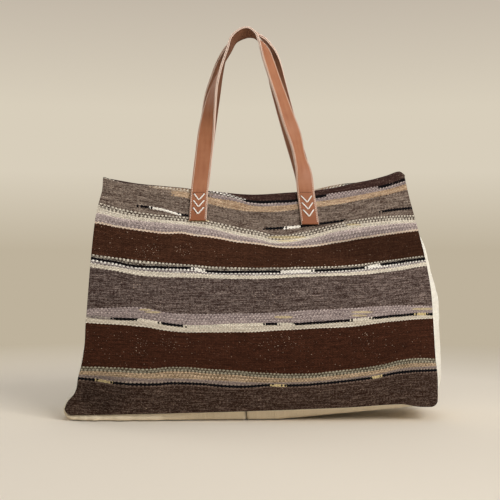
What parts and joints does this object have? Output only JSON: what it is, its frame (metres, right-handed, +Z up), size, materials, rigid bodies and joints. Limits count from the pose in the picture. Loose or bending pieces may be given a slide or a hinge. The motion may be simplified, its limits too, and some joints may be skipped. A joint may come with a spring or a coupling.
{
  "type": "carpet bag",
  "caption": "Wide striped flat-woven wool tote with a canvas gusset, cotton lining and leather handles laced with white chevrons; the handles fold down.",
  "frame": {"origin": "on the floor under the middle of the bag, on the flat underside of the canvas base", "axes": "+X to the right along the bag seen from the front, +Y from the front panel to the back panel, +Z up"},
  "size_m": [0.5731, 0.176, 0.5992],
  "materials": {
    "kilim_wool": "flat-woven wool in dark brown, heather, lilac, cream and tan stripes",
    "canvas": "cream cotton canvas, plain weave",
    "lining_cotton": "undyed cotton, plain weave",
    "leather": "tan vegetable-tanned leather, soft sheen, pale raw edges",
    "leather_back": "tan leather, matt inner face",
    "lacing_cord": "white waxed cord"
  },
  "bodies": {
    "bag": {"front_panel": "kilim_wool", "back_panel": "kilim_wool", "gusset_left": "canvas", "gusset_right": "canvas", "lining_front": "lining_cotton", "lining_back": "lining_cotton", "lining_gusset_left": "lining_cotton", "lining_gusset_right": "lining_cotton", "front_handle_left_end_outer": "leather", "front_handle_left_end_backing": "leather_back", "front_handle_right_end_outer": "leather", "front_handle_right_end_backing": "leather_back", "front_handle_left_chevron_1": "lacing_cord", "front_handle_left_chevron_2": "lacing_cord", "front_handle_left_chevron_3": "lacing_cord", "front_handle_right_chevron_1": "lacing_cord", "front_handle_right_chevron_2": "lacing_cord", "front_handle_right_chevron_3": "lacing_cord", "back_handle_left_end_outer": "leather", "back_handle_left_end_backing": "leather_back", "back_handle_right_end_outer": "leather", "back_handle_right_end_backing": "leather_back", "back_handle_left_chevron_1": "lacing_cord", "back_handle_left_chevron_2": "lacing_cord", "back_handle_left_chevron_3": "lacing_cord", "back_handle_right_chevron_1": "lacing_cord", "back_handle_right_chevron_2": "lacing_cord", "back_handle_right_chevron_3": "lacing_cord"},
    "front_handle": {"front_handle_outer_strap": "leather", "front_handle_backing_strap": "leather_back"},
    "back_handle": {"back_handle_outer_strap": "leather", "back_handle_backing_strap": "leather_back"}
  },
  "joints": [
    {"name": "front_handle_swing", "type": "hinge", "parent": "bag", "child": "front_handle", "pos_m": [0.0038, -0.04323, 0.3405], "axis": [1, 0, 0], "range_deg": [0, 155]},
    {"name": "back_handle_swing", "type": "hinge", "parent": "bag", "child": "back_handle", "pos_m": [0.0044, 0.04323, 0.3405], "axis": [-1, 0, 0], "range_deg": [0, 155]}
  ]
}
